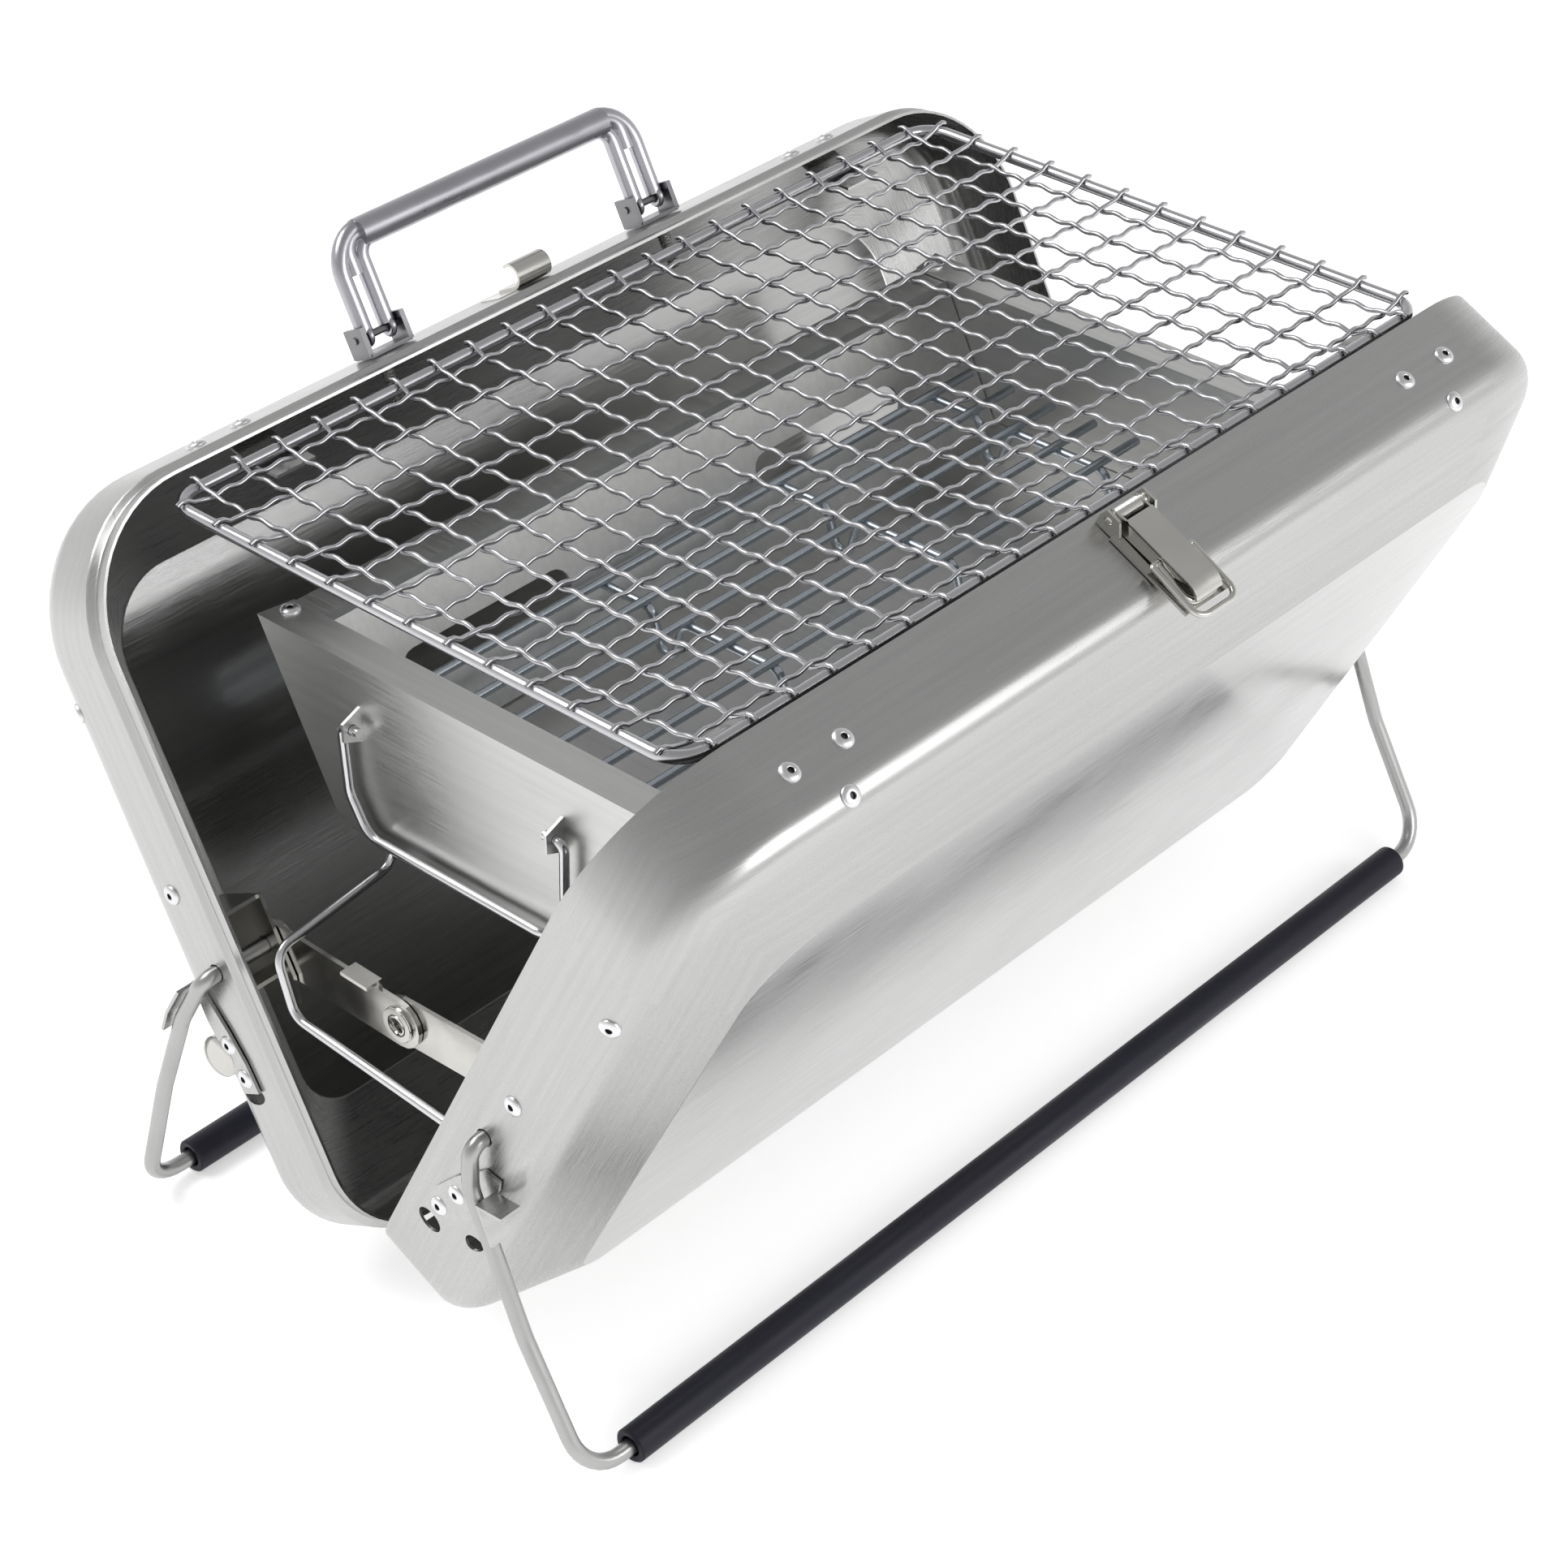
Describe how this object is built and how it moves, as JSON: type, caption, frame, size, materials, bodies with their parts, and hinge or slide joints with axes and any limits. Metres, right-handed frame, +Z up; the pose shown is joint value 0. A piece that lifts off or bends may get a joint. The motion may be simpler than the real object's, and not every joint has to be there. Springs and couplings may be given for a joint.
{
  "type": "folding camp grill",
  "caption": "Suitcase-style folding charcoal camp grill in brushed steel, opened on wire legs with a crimped wire cooking grid, fire box and carrying handle.",
  "frame": {"origin": "centre of the footprint, at the floor under the rubber foot sleeves", "axes": "+X along the hinge towards the far end, -Y the front with the latch, +Z up"},
  "size_m": [0.4166, 0.2914, 0.2629],
  "materials": {
    "brushed_sheet": "brushed",
    "bright_wire": "bright",
    "nickel_fitting": "bright",
    "plain_sheet": "satin",
    "foot_rubber": "matt"
  },
  "bodies": {
    "rear": {"rear_shell": "brushed_sheet", "pivot_bracket_rear_near": "plain_sheet", "pivot_bracket_rear_far": "plain_sheet", "leg_stop_rear_near": "nickel_fitting", "leg_stop_rear_far": "nickel_fitting", "grid_support_rear_near": "plain_sheet", "grid_support_rear_far": "plain_sheet", "hinge_leaf_rear_near": "plain_sheet", "hinge_leaf_rear_far": "plain_sheet", "hinge_pin_near": "nickel_fitting", "hinge_pin_far": "nickel_fitting", "handle_bracket_near": "nickel_fitting", "handle_bracket_far": "nickel_fitting", "keeper": "nickel_fitting"},
    "front": {"front_shell": "brushed_sheet", "pivot_bracket_front_near": "plain_sheet", "pivot_bracket_front_far": "plain_sheet", "leg_stop_front_near": "nickel_fitting", "leg_stop_front_far": "nickel_fitting", "grid_support_front_near": "plain_sheet", "grid_support_front_far": "plain_sheet", "hinge_leaf_front_near": "plain_sheet", "hinge_leaf_front_far": "plain_sheet", "latch_base": "nickel_fitting", "latch_pin": "nickel_fitting"},
    "rear_leg_set": {"rear_leg": "bright_wire", "rear_sleeve": "foot_rubber", "pin_collar_rear_near": "bright_wire", "pin_collar_rear_far": "bright_wire"},
    "front_leg_set": {"front_leg": "bright_wire", "front_sleeve": "foot_rubber", "pin_collar_front_near": "bright_wire", "pin_collar_front_far": "bright_wire"},
    "stay_rear_near": {"stay_link_rear_near": "plain_sheet"},
    "stay_rear_far": {"stay_link_rear_far": "plain_sheet"},
    "stay_front_near": {"stay_link_front_near": "plain_sheet"},
    "stay_front_far": {"stay_link_front_far": "plain_sheet"},
    "rest_near": {"rest_wire_near": "bright_wire"},
    "rest_far": {"rest_wire_far": "bright_wire"},
    "firebox": {"firebox_floor": "plain_sheet", "firebox_side_front": "plain_sheet", "firebox_side_rear": "plain_sheet", "firebox_end_near": "plain_sheet", "firebox_end_far": "plain_sheet"},
    "bail_near": {"firebox_bail_near": "bright_wire"},
    "bail_far": {"firebox_bail_far": "bright_wire"},
    "grate": {"charcoal_grate": "bright_wire"},
    "grid": {"cooking_grid": "bright_wire"},
    "handle": {"handle_grip": "bright_wire"},
    "lever": {"latch_lever": "nickel_fitting"},
    "loop": {"latch_loop": "bright_wire"}
  },
  "joints": [
    {"name": "shell_fold", "type": "hinge", "parent": "rear", "child": "front", "pos_m": [0, 0, 0.02092], "axis": [-1, 0, 0], "range_deg": [0, 53.9]},
    {"name": "front_leg_fold", "type": "hinge", "parent": "front", "child": "front_leg_set", "pos_m": [0, -0.05516, 0.10462], "axis": [1, 0, 0], "range_deg": [0, 46]},
    {"name": "rear_leg_fold", "type": "hinge", "parent": "rear", "child": "rear_leg_set", "pos_m": [0, 0.05516, 0.10462], "axis": [-1, 0, 0], "range_deg": [0, 46]},
    {"name": "stay_rear_near_fold", "type": "hinge", "parent": "rear", "child": "stay_rear_near", "pos_m": [0, 0.05516, 0.10462], "axis": [-1, 0, 0], "range_deg": [0, 106.95]},
    {"name": "stay_front_near_fold", "type": "hinge", "parent": "front", "child": "stay_front_near", "pos_m": [0, -0.05516, 0.10462], "axis": [1, 0, 0], "range_deg": [0, 106.95]},
    {"name": "rest_near_fold", "type": "hinge", "parent": "front", "child": "rest_near", "pos_m": [0, -0.04678, 0.09149], "axis": [1, 0, 0], "range_deg": [0, 97.07]},
    {"name": "stay_rear_far_fold", "type": "hinge", "parent": "rear", "child": "stay_rear_far", "pos_m": [0, 0.05516, 0.10462], "axis": [-1, 0, 0], "range_deg": [0, 106.95]},
    {"name": "stay_front_far_fold", "type": "hinge", "parent": "front", "child": "stay_front_far", "pos_m": [0, -0.05516, 0.10462], "axis": [1, 0, 0], "range_deg": [0, 106.95]},
    {"name": "rest_far_fold", "type": "hinge", "parent": "front", "child": "rest_far", "pos_m": [0, -0.04678, 0.09149], "axis": [1, 0, 0], "range_deg": [0, 97.07]},
    {"name": "grid_lift", "type": "slide", "parent": "rear", "child": "grid", "axis": [0, 0, 1], "range_m": [0, 0.9703]},
    {"name": "firebox_lift", "type": "slide", "parent": "rear", "child": "firebox", "axis": [0, 0, 1], "range_m": [0, 0.9703]},
    {"name": "grate_lift", "type": "slide", "parent": "firebox", "child": "grate", "axis": [0, 0, 1], "range_m": [0, 0.055]},
    {"name": "bail_near_swing", "type": "hinge", "parent": "firebox", "child": "bail_near", "pos_m": [-0.1545, 0, 0.173], "axis": [0, 1, 0], "range_deg": [0, 120]},
    {"name": "bail_far_swing", "type": "hinge", "parent": "firebox", "child": "bail_far", "pos_m": [0.1545, 0, 0.173], "axis": [0, -1, 0], "range_deg": [0, 120]},
    {"name": "handle_fold", "type": "hinge", "parent": "rear", "child": "handle", "pos_m": [0, 0.12522, 0.23222], "axis": [-1, 0, 0], "range_deg": [0, 95]},
    {"name": "latch_lever_swing", "type": "hinge", "parent": "front", "child": "lever", "pos_m": [0.001, -0.11241, 0.23571], "axis": [-1, 0, 0], "range_deg": [0, 120]},
    {"name": "latch_loop_swing", "type": "hinge", "parent": "lever", "child": "loop", "pos_m": [0.001, -0.12854, 0.22772], "axis": [-1, 0, 0], "range_deg": [0, 80]}
  ],
  "couplings": [
    {"joint": "stay_rear_near_fold", "follows": "shell_fold", "ratio": 1.9833},
    {"joint": "stay_front_near_fold", "follows": "shell_fold", "ratio": 1.9833},
    {"joint": "rest_near_fold", "follows": "shell_fold", "ratio": 1.8},
    {"joint": "stay_rear_far_fold", "follows": "shell_fold", "ratio": 1.9833},
    {"joint": "stay_front_far_fold", "follows": "shell_fold", "ratio": 1.9833},
    {"joint": "rest_far_fold", "follows": "shell_fold", "ratio": 1.8},
    {"joint": "grid_lift", "follows": "shell_fold", "m_per_rad": 1.0313},
    {"joint": "firebox_lift", "follows": "shell_fold", "m_per_rad": 1.0313}
  ]
}
